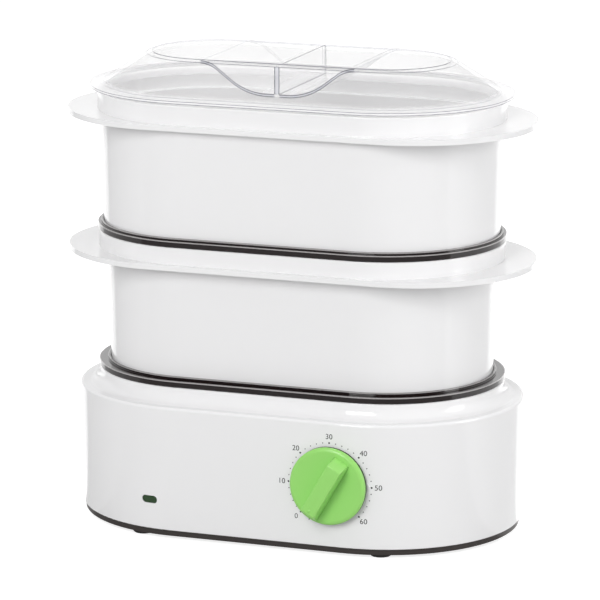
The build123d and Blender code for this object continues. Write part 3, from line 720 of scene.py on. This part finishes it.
class STEAMER_OT_tank(bpy.types.Operator):
    """Finish the water tank, the heating element and the drip tray"""

    bl_idname = "steamer.tank"
    bl_label = "Tank"

    def execute(self, context):
        dress(tank_plastic, "water_tank")
        dress(silicone, "tank_seal", "element_seals")
        dress(steel, "heating_element", "element_clips")
        dress(aluminium, "boil_dry_cutout")
        dress(ring_plastic, "steam_ring")
        dress(smoked_plastic, "drip_tray")
        return {"FINISHED"}


# ---------------------------------------------------------------- knob
KNOB_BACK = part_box("timer_knob")[1][1]      # plane of the knob's back
KNOB_DEPTH = KNOB_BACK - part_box("timer_knob")[0][1]
POINTER_BEARING = 240.0
KNOB_SEGMENTS = 128
PAINTED_SHADE_TOP = 1.9 * MM       # the skirt is painted dark, as painted shade, from the wall up to here
DISC_PROFILE = (    # radius, depth in front of the back (both in mm), from the rim's back inward
    (27.6, 0.0),
    (28.6, 0.0),
    (28.8, 0.1),
    (28.8, 1.9),
    (28.8, 3.7),
    (28.6, 4.3),
    (27.9, 4.9),
    (26.9, 5.35),
    (26.3, 5.45),
    (25.6, 5.43),
    (20.0, 5.05),
    (10.0, 4.75),
    (4.0, 4.65),
)
BAR_FOOT = 4.2 * MM         # the bar starts inside the disc
BAR_TOP = KNOB_DEPTH - 0.35 * MM
BAR_FOOT_SIZE = (27.3 * MM, 23.4 * MM, 6.5 * MM)    # to the pointer end, to the tail, half width
BAR_TOP_SIZE = (21.2 * MM, 19.6 * MM, 5.6 * MM)
BAR_BEVEL = 0.7 * MM
BEVEL_STEPS = 4
PIP_PLACE = 18.4 * MM
PIP_RADIUS = 1.5 * MM
PIP_PROFILE = ((1.0, -0.1 * MM), (0.85, 0.16 * MM), (0.5, 0.28 * MM))   # share of radius, height


def knob_point(along, across, depth):
    """Point of the knob: along the pointer, across it, and in front of the knob's back."""
    turn = radians(POINTER_BEARING)
    x = DIAL_MIDDLE.x + along * cos(turn) - across * sin(turn)
    z = DIAL_MIDDLE.z + along * sin(turn) + across * cos(turn)
    return Vector((x, KNOB_BACK - depth, z))


def add_disc(shape):
    rings = []
    for radius, depth in DISC_PROFILE:
        ring = []
        for step in range(KNOB_SEGMENTS):
            turn = 2 * pi * step / KNOB_SEGMENTS
            along, across = radius * MM * cos(turn), radius * MM * sin(turn)
            ring.append(shape.verts.new(knob_point(along, across, depth * MM)))
        rings.append(ring)
    for band, (_, depth) in zip(skin_rings(shape, rings), DISC_PROFILE[1:]):
        for face in band:
            face.smooth = True
            # the back of the skirt takes the dark finish: painted shade
            face.material_index = int(depth * MM <= PAINTED_SHADE_TOP)
    for ring in (rings[0], rings[-1]):
        shape.faces.new(ring)


def add_bar(shape):
    """Grip bar with upright flanks and sloping ends, all its edges but the foot's rounded."""
    levels = []
    for (pointer, tail, half), depth in ((BAR_FOOT_SIZE, BAR_FOOT), (BAR_TOP_SIZE, BAR_TOP)):
        corners = ((pointer, half), (pointer, -half), (-tail, -half), (-tail, half))
        levels.append([shape.verts.new(knob_point(*corner, depth)) for corner in corners])
    foot, top = levels
    shape.faces.new(foot)
    shape.faces.new(top)
    skin_rings(shape, levels)
    edges = {edge for vertex in top for edge in vertex.link_edges}
    rounded = bmesh.ops.bevel(
        shape,
        geom=list(edges),
        offset=BAR_BEVEL,
        segments=BEVEL_STEPS,
        profile=0.5,
        affect="EDGES",
    )
    for face in rounded["faces"]:
        face.smooth = True


def add_pip(shape):
    """Low round pip near the pointer's end."""
    rings = []
    for share, rise in PIP_PROFILE:
        ring = []
        for step in range(DOT_SEGMENTS):
            turn = 2 * pi * step / DOT_SEGMENTS
            along = PIP_PLACE + PIP_RADIUS * share * cos(turn)
            across = PIP_RADIUS * share * sin(turn)
            ring.append(shape.verts.new(knob_point(along, across, BAR_TOP + rise)))
        rings.append(ring)
    for band in skin_rings(shape, rings):
        for face in band:
            face.smooth = True
    for ring in (rings[0], rings[-1]):
        shape.faces.new(ring)


class STEAMER_OT_knob(bpy.types.Operator):
    """Build the timer knob in place of its CAD node"""

    bl_idname = "steamer.knob"
    bl_label = "Timer Knob"

    def execute(self, context):
        shape = bmesh.new()
        add_disc(shape)
        add_bar(shape)
        add_pip(shape)
        bmesh.ops.recalc_face_normals(shape, faces=shape.faces)
        knob = keep_piece("knob", shape, knob_plastic, "knob")
        # second slot: the painted shade on the back of the skirt
        knob.data.materials.append(finish(knob_groove))
        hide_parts("timer_knob")
        dress(knob_plastic, "timer_knob")
        return {"FINISHED"}


# ---------------------------------------------------------------- edge strips, which carry painted shade and highlights
SPINE = (LID_HIGH.x - LID_LOW.x - (LID_HIGH.y - LID_LOW.y)) / 2     # middle to each round end
EDGE_DEPTH = 0.5 * MM       # how far an edge strip goes into its piece
EDGE_PROUD = 0.03 * MM      # and how far it stands out of it
ROUND_STEPS = 64
MERGE_DISTANCE = 0.001 * MM


def add_strip(shape, rows, faces):
    """Skin a closed strip from rows of points; each row runs round the strip's section."""
    rings = [[shape.verts.new(point) for point in row] for row in rows]
    for band in skin_rings(shape, rings):
        for face, finish_place in zip(band, faces):
            face.material_index = finish_place
    return rings


def close_strip(shape, rings):
    for ring in (rings[0], rings[-1]):
        shape.faces.new(ring)


def strip_row(point, outward, levels):
    """Section of an edge strip: down its outer face, then back up its inner one."""
    outer = [point + outward * EDGE_PROUD - Vector((0.0, 0.0, drop)) for drop in levels]
    inner = [point - outward * EDGE_DEPTH - Vector((0.0, 0.0, drop)) for drop in levels]
    return outer + inner[::-1]


def round_places():
    """(centre x, direction) of points all the way round an oval piece, anticlockwise."""
    places = []
    for end in (1, -1):
        for step in range(ROUND_STEPS + 1):
            turn = pi * (step / ROUND_STEPS - 0.5 * end)
            places.append((end * SPINE, Vector((cos(turn), sin(turn), 0.0))))
    return places


def add_round_edge(shape, radius, top, levels, faces):
    """Edge strip that runs all round an oval piece, facing outward."""
    rows = []
    for centre_x, outward in round_places():
        middle = Vector((centre_x, STACK_MIDDLE.y, top))
        rows.append(strip_row(middle + outward * radius, outward, levels))
    add_strip(shape, rows + rows[:1], faces)


def close_seams(shape):
    """Merge the points where a strip meets itself, and turn all its faces outward."""
    bmesh.ops.remove_doubles(shape, verts=shape.verts, dist=MERGE_DISTANCE)
    bmesh.ops.recalc_face_normals(shape, faces=shape.faces)


# ---------------------------------------------------------------- trays and baskets
LIP_RADIUS = {"lower": 82.2 * MM, "upper": 86.6 * MM}    # of the lip inside each tray's ring
LIP_HEIGHT = 2.0 * MM       # how far the lip stands above the ring
PAINTED_HIGHLIGHT_HEIGHT = 0.8 * MM        # height of the light strip, a painted highlight, along the edge of ring and lip


class STEAMER_OT_tiers(bpy.types.Operator):
    """Finish the steam trays and the baskets"""

    bl_idname = "steamer.tiers"
    bl_label = "Trays and Baskets"

    def execute(self, context):
        dress(tray_plastic, "steam_tray_lower", "steam_tray_upper")
        dress(white_plastic, "basket_lower", "basket_upper")
        for tier, lip_radius in LIP_RADIUS.items():
            tray = f"steam_tray_{tier}"
            (_, low_y, _), (_, high_y, top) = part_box(tray)
            edges = bmesh.new()
            for radius, height in ((lip_radius, top), ((high_y - low_y) / 2, top - LIP_HEIGHT)):
                add_round_edge(edges, radius, height, (0.0, PAINTED_HIGHLIGHT_HEIGHT), (0, 0, 0, 0))
            close_seams(edges)
            # light strips along ring and lip: painted highlight in place of their reflections
            piece = keep_piece(f"tray_edges_{tier}", edges, tray_edge, tray)
        return {"FINISHED"}


# ---------------------------------------------------------------- lid
RIM_RADIUS = (LID_HIGH.y - LID_LOW.y) / 2
RIM_THICK = 2.0 * MM
LEDGE_DROP = 1.5 * MM
LEDGE_RADIUS = 51.9 * MM
PLATE_RADIUS = 47.4 * MM
SHOULDER_RADIUS = 84.0 * MM
SCOOP_DEPTH = 21.8 * MM
SCOOP_FLAT = 8.0 * MM
SCOOP_BOWL_RADIUS = 46.0 * MM
SCOOP_LIP_RADIUS = 21.0 * MM
SCOOP_ANGLE = radians(37.0)
SCOOP_FACE = 51.4 * MM      # the recess's end walls, from the stack's middle
SHEET = 2.4 * MM            # upright thickness of the recess's floor
WEB_HALF = 2.0 * MM
EDGE_LINE = 0.75 * MM       # width of the dark line, painted shade, along each side of a cut edge
FINE_LINE = 0.35 * MM       # and of the lines along the ledge and the web
PLATE_LINE = 1.3 * FINE_LINE
SHOULDER_LINE_TOP = RIM_TOP + 1.5 * FINE_LINE
CURVE_STEPS = 14
CLEAR, CORE, LINE = range(3)        # the lid's finishes, in the order of its slots; CORE is painted light, LINE painted shade
STRIP_FACES = (LINE, CORE, LINE, CLEAR, CLEAR, CLEAR, CLEAR, CLEAR)


def scoop_floor():
    """(x, z) of the recess's floor at points from the web out to the lip of its mouth."""
    turn, bowl, lip = SCOOP_ANGLE, SCOOP_BOWL_RADIUS, SCOOP_LIP_RADIUS
    bottom = LID_TOP - SCOOP_DEPTH
    points = [(WEB_HALF, bottom)]
    for step in range(CURVE_STEPS + 1):
        at = turn * step / CURVE_STEPS
        points.append((SCOOP_FLAT + bowl * sin(at), bottom + bowl * (1 - cos(at))))
    bowl_x, _ = points[-1]
    slope = (SCOOP_DEPTH - (bowl + lip) * (1 - cos(turn))) / sin(turn)
    lip_x = bowl_x + slope * cos(turn) + lip * sin(turn)
    for step in range(CURVE_STEPS + 1):
        at = turn * (1 - step / CURVE_STEPS)
        points.append((lip_x - lip * sin(at), LID_TOP - lip * (1 - cos(at))))
    return points


def edge_levels(thick):
    """Heights, from the top down, at which an edge changes from line to core to line."""
    return 0.0, EDGE_LINE, thick - EDGE_LINE, thick


def add_scoop_edges(shape):
    """Cut edges of the recess's floor and of the web, on the front and the back."""
    for side in (-1, 1):
        outward = Vector((0.0, side, 0.0))
        face_y = STACK_MIDDLE.y + side * SCOOP_FACE
        for hand in (-1, 1):
            rows = [
                strip_row(Vector((hand * x, face_y, z)), outward, edge_levels(SHEET))
                for x, z in scoop_floor()
            ]
            close_strip(shape, add_strip(shape, rows, STRIP_FACES))
        top, bottom = LID_TOP - LEDGE_DROP, LID_TOP - SCOOP_DEPTH
        across = [-WEB_HALF, -WEB_HALF + EDGE_LINE, WEB_HALF - EDGE_LINE, WEB_HALF]
        rows = []
        for height in (top, bottom):
            outer = [Vector((x, face_y + side * EDGE_PROUD, height)) for x in across]
            inner = [Vector((x, face_y - side * EDGE_DEPTH, height)) for x in across]
            rows.append(outer + inner[::-1])
        close_strip(shape, add_strip(shape, rows, STRIP_FACES))


def add_line(shape, start, end, across, finish_place=LINE):
    """Thin closed bar from start to end, with one side moved by across."""
    up = Vector((0.0, 0.0, FINE_LINE)) if start.z == end.z else Vector((0.0, FINE_LINE, 0.0))
    rows = [[point, point + across, point + across + up, point + up] for point in (start, end)]
    close_strip(shape, add_strip(shape, rows, (finish_place,) * 4))


def add_mouth_lines(shape):
    """Lips of the recess's mouth, from the front to the back."""
    for hand in (-1, 1):
        lip = hand * scoop_floor()[-1][0]
        near, far = (
            Vector((lip, STACK_MIDDLE.y + side * PLATE_RADIUS, LID_TOP - FINE_LINE - EDGE_PROUD))
            for side in (-1, 1)
        )
        add_line(shape, near, far, Vector((FINE_LINE, 0.0, 0.0)), CORE)


def add_web_lines(shape):
    """Long edges of the web, from the front to the back, and its upright edge at the back."""
    across = Vector((FINE_LINE, 0.0, 0.0))
    flank = WEB_HALF - FINE_LINE / 2
    bottom = LID_TOP - SCOOP_DEPTH
    for height, reach in ((LID_TOP - FINE_LINE, PLATE_RADIUS), (bottom, SCOOP_FACE)):
        near, far = (Vector((flank, STACK_MIDDLE.y + side * reach, height)) for side in (-1, 1))
        add_line(shape, near, far, across)
    back = STACK_MIDDLE.y + PLATE_RADIUS
    add_line(shape, Vector((flank, back, bottom)), Vector((flank, back, LID_TOP)), across)


class STEAMER_OT_lid(bpy.types.Operator):
    """Finish the clear lid, and paint shade and light along the edges of its sheet"""

    bl_idname = "steamer.lid"
    bl_label = "Lid"

    def execute(self, context):
        dress(clear_plastic, "lid")
        # strips of painted shade and painted light along the sheet's edges
        edges = bmesh.new()
        add_scoop_edges(edges)
        rim_levels = (0.0, FINE_LINE, RIM_THICK - FINE_LINE, RIM_THICK)
        rim_faces = (LINE, CLEAR, LINE) + STRIP_FACES[3:]
        add_round_edge(edges, RIM_RADIUS, RIM_TOP, rim_levels, rim_faces)
        thin = (0.0, FINE_LINE)
        lines = (LINE, CLEAR, CORE, CLEAR)
        add_round_edge(edges, PLATE_RADIUS, LID_TOP, (0.0, PLATE_LINE), lines)
        add_round_edge(edges, LEDGE_RADIUS, LID_TOP - LEDGE_DROP, thin, lines)
        add_round_edge(edges, SHOULDER_RADIUS, SHOULDER_LINE_TOP, thin, lines)
        add_web_lines(edges)
        add_mouth_lines(edges)
        close_seams(edges)
        piece = keep_piece("lid_edges", edges, clear_plastic, "lid")
        piece.data.materials.append(finish(clear_core))
        piece.data.materials.append(finish(clear_line))
        return {"FINISHED"}


# ---------------------------------------------------------------- studio
FLOOR_SIZE = 16.0
FLOOR_BACK = 6.0            # where the floor turns up into the backdrop
FLOOR_BEND = 0.8
BACKDROP_HEIGHT = 3.0
BEND_STEPS = 24
TRANSPARENT_LAYERS = 32     # enough to see through every wall of the lid
FLOOR_GREY = (0.5, 0.5, 0.5)
FLOOR_GLOW = 0.8            # added to the floor where the camera sees it
FAR_FLOOR_GLOW = 0.3        # added to the floor in gloss
BACKDROP_GLOW = 1.2         # brightness of the backdrop in gloss
FRONT_GLOW = 0.15           # and of the room on the camera's side
FLOOR_IN_GLOSS = 0.3        # share of the floor's colour that gloss shows
BACKDROP_RISE = (0.02, 0.3)     # heights over which the backdrop's glow sets in, in metres
ROOM_RISE = (-0.1, 0.3)     # the same for the room, by how far a ray points to the back
AIM = (-0.0007, -0.0002, 0.165)     # what the camera looks at, from the stack's middle line
SENSOR_WIDTH = 36.0
CLIP_END = 100.0
LAMPS = (   # name, place, width, height, share of the lamps' power
    ("key_lamp", (-0.15, -2.2, 1.35), 1.0, 1.4, 1.0),
    ("side_lamp", (2.0, 0.0, 0.7), 0.6, 1.3, 0.42),
    ("top_lamp", (0.3, 0.2, 2.6), 1.2, 1.0, 0.17),
)
CARDS = (   # wedges on the floor, seen in gloss only: apex x and y, bearings, brightness
    (-0.132, -0.046, (111.0, 147.0), 1.6),
    (-0.132, -0.046, (147.0, 215.0), 0.8),
    (0.155, -0.008, (-10.0, 70.0), 1.2),
    (0.155, -0.008, (70.0, 104.0), 1.8),
)
CARD_LENGTH = 2.6
CARD_LIFT = 2 * MM


def floor_material():
    """Floor that looks white to the camera; in gloss it is dark, and its backdrop is bright."""
    material, tree, shader = plain_material("Studio Floor", FLOOR_GREY, 0.9)
    seen = add_node(tree, "ShaderNodeLightPath")
    ground = add_node(tree, "ShaderNodeMix", data_type="RGBA")
    ground.inputs["A"].default_value = (*FLOOR_GREY, 1.0)
    ground.inputs["B"].default_value = (*shade(FLOOR_GREY, FLOOR_IN_GLOSS), 1.0)
    tree.links.new(seen.outputs["Is Glossy Ray"], ground.inputs["Factor"])
    tree.links.new(ground.outputs["Result"], shader.inputs["Base Color"])
    place = add_node(tree, "ShaderNodeTexCoord")
    parts = add_node(tree, "ShaderNodeSeparateXYZ")
    start, full = BACKDROP_RISE
    risen = add_node(
        tree,
        "ShaderNodeMapRange",
        {"From Min": start, "From Max": full, "To Min": FAR_FLOOR_GLOW, "To Max": BACKDROP_GLOW},
    )
    mirrored = add_node(tree, "ShaderNodeMath", operation="MULTIPLY")
    direct = add_node(tree, "ShaderNodeMath", {1: FLOOR_GLOW}, operation="MULTIPLY")
    glow = add_node(tree, "ShaderNodeMath", operation="ADD")
    tree.links.new(place.outputs["Object"], parts.inputs["Vector"])
    tree.links.new(parts.outputs["Z"], risen.inputs["Value"])
    tree.links.new(risen.outputs["Result"], mirrored.inputs[0])
    tree.links.new(seen.outputs["Is Glossy Ray"], mirrored.inputs[1])
    tree.links.new(seen.outputs["Is Camera Ray"], direct.inputs[0])
    tree.links.new(mirrored.outputs[0], glow.inputs[0])
    tree.links.new(direct.outputs[0], glow.inputs[1])
    shader.inputs["Emission Color"].default_value = (1.0, 1.0, 1.0, 1.0)
    tree.links.new(glow.outputs[0], shader.inputs["Emission Strength"])
    return material


def build_floor():
    """Sheet that lies under the object and sweeps up behind it."""
    profile = [(-FLOOR_SIZE / 2, 0.0), (FLOOR_BACK, 0.0)]
    for step in range(1, BEND_STEPS + 1):
        turn = pi / 2 * step / BEND_STEPS
        profile.append((FLOOR_BACK + FLOOR_BEND * sin(turn), FLOOR_BEND * (1 - cos(turn))))
    profile.append((FLOOR_BACK + FLOOR_BEND, BACKDROP_HEIGHT))
    shape = bmesh.new()
    rows = [
        [shape.verts.new((side * FLOOR_SIZE / 2, y, z)) for y, z in profile] for side in (-1, 1)
    ]
    for left, right, next_right, next_left in zip(rows[0], rows[1], rows[1][1:], rows[0][1:]):
        shape.faces.new((left, right, next_right, next_left)).smooth = True
    mesh = bpy.data.meshes.new("studio_floor")
    shape.to_mesh(mesh)
    shape.free()
    mesh.materials.append(floor_material())
    floor = bpy.data.objects.new("studio_floor", mesh)
    bpy.context.scene.collection.objects.link(floor)


def build_cards():
    """White cards on the floor, whose reflections run up the ends of the walls."""
    shape = bmesh.new()
    mesh = bpy.data.meshes.new("studio_cards")
    for place, (x, y, bearings, glow) in enumerate(CARDS):
        material, _, shader = plain_material("Studio Card", (0.0, 0.0, 0.0), 1.0)
        shader.inputs["Emission Color"].default_value = (1.0, 1.0, 1.0, 1.0)
        shader.inputs["Emission Strength"].default_value = glow
        mesh.materials.append(material)
        apex = Vector((x, y, CARD_LIFT))
        turns = [radians(bearing) for bearing in bearings]
        reach = [CARD_LENGTH * Vector((cos(turn), sin(turn), 0.0)) for turn in turns]
        corners = [shape.verts.new(apex + offset) for offset in (Vector(), *reach)]
        shape.faces.new(corners).material_index = place
    shape.to_mesh(mesh)
    shape.free()
    cards = bpy.data.objects.new("studio_cards", mesh)
    for ray in ("camera", "diffuse", "transmission", "shadow", "volume_scatter"):
        setattr(cards, f"visible_{ray}", False)
    bpy.context.scene.collection.objects.link(cards)


def build_world(room_light):
    """Even light all round; in gloss the back is bright and the side of the camera dark."""
    world = bpy.data.worlds.new("Studio World")
    world.use_nodes = True
    tree = world.node_tree
    background = tree.nodes["Background"]
    background.inputs["Color"].default_value = (1.0, 1.0, 1.0, 1.0)
    seen = add_node(tree, "ShaderNodeLightPath")
    place = add_node(tree, "ShaderNodeTexCoord")
    parts = add_node(tree, "ShaderNodeSeparateXYZ")
    start, full = ROOM_RISE
    mirrored = add_node(
        tree,
        "ShaderNodeMapRange",
        {"From Min": start, "From Max": full, "To Min": FRONT_GLOW, "To Max": BACKDROP_GLOW},
    )
    in_gloss = add_node(tree, "ShaderNodeMix", {"A": room_light})
    in_view = add_node(tree, "ShaderNodeMix", {"B": 1.0})
    tree.links.new(place.outputs["Generated"], parts.inputs["Vector"])
    tree.links.new(parts.outputs["Y"], mirrored.inputs["Value"])
    tree.links.new(seen.outputs["Is Glossy Ray"], in_gloss.inputs["Factor"])
    tree.links.new(mirrored.outputs["Result"], in_gloss.inputs["B"])
    tree.links.new(seen.outputs["Is Camera Ray"], in_view.inputs["Factor"])
    tree.links.new(in_gloss.outputs["Result"], in_view.inputs["A"])
    tree.links.new(in_view.outputs["Result"], background.inputs["Strength"])
    bpy.context.scene.world = world


def add_lamp(name, place, width, height, power):
    """Area lamp at a place round the stack that faces its middle."""
    data = bpy.data.lights.new(name, "AREA")
    data.shape = "RECTANGLE"
    data.size = width
    data.size_y = height
    data.energy = power
    lamp = bpy.data.objects.new(name, data)
    lamp.location = Vector(place)
    middle = Vector((0.0, STACK_MIDDLE.y, AIM[2]))
    lamp.rotation_euler = (middle - lamp.location).to_track_quat("-Z", "Y").to_euler()
    bpy.context.scene.collection.objects.link(lamp)


def build_camera(studio):
    data = bpy.data.cameras.new("Camera")
    data.lens = studio.lens
    data.sensor_width = SENSOR_WIDTH
    data.clip_end = CLIP_END
    camera = bpy.data.objects.new("Camera", data)
    target = Vector((AIM[0], STACK_MIDDLE.y + AIM[1], AIM[2]))
    back = Vector((
        sin(studio.azimuth) * cos(studio.elevation),
        -cos(studio.azimuth) * cos(studio.elevation),
        sin(studio.elevation),
    ))
    camera.location = target + back * studio.distance
    camera.rotation_euler = (-back).to_track_quat("-Z", "Y").to_euler()
    bpy.context.scene.collection.objects.link(camera)
    bpy.context.scene.camera = camera


class STEAMER_OT_studio(bpy.types.Operator):
    """Set up the floor, the light and the camera"""

    bl_idname = "steamer.studio"
    bl_label = "Studio"

    def execute(self, context):
        studio = context.scene.steamer_studio
        build_floor()
        build_cards()
        build_world(studio.room_light)
        for name, place, width, height, share in LAMPS:
            add_lamp(name, place, width, height, share * studio.lamp_strength)
        build_camera(studio)
        context.scene.view_settings.view_transform = "Standard"
        context.scene.cycles.transparent_max_bounces = TRANSPARENT_LAYERS
        return {"FINISHED"}


# ---------------------------------------------------------------- add-on
class STEAMER_PT_panel(bpy.types.Panel):
    """Steps that dress the steamer"""

    bl_idname = "STEAMER_PT_panel"
    bl_label = "Steamer"
    bl_space_type = "VIEW_3D"
    bl_region_type = "UI"
    bl_category = "Steamer"

    def draw(self, context):
        column = self.layout.column()
        for operator in OPERATORS:
            column.operator(operator.bl_idname)
        for group in SETTINGS:
            settings = getattr(context.scene, group)
            for name in settings.__annotations__:
                column.prop(settings, name)


SETTINGS = {
    "steamer_colours": SteamerColours,
    "steamer_sizes": SteamerSizes,
    "steamer_studio": StudioSettings,
}
OPERATORS = (
    STEAMER_OT_base,
    STEAMER_OT_tank,
    STEAMER_OT_knob,
    STEAMER_OT_dial_print,
    STEAMER_OT_tiers,
    STEAMER_OT_lid,
    STEAMER_OT_studio,
)
CLASSES = (*SETTINGS.values(), *OPERATORS, STEAMER_PT_panel)


def register():
    for item in CLASSES:
        bpy.utils.register_class(item)
    for name, group in SETTINGS.items():
        setattr(bpy.types.Scene, name, PointerProperty(type=group))


def unregister():
    for name in SETTINGS:
        delattr(bpy.types.Scene, name)
    for item in reversed(CLASSES):
        bpy.utils.unregister_class(item)


def main():
    register()
    for operator in OPERATORS:
        group, action = operator.bl_idname.split(".")
        getattr(getattr(bpy.ops, group), action)()


if __name__ == "__main__":
    main()
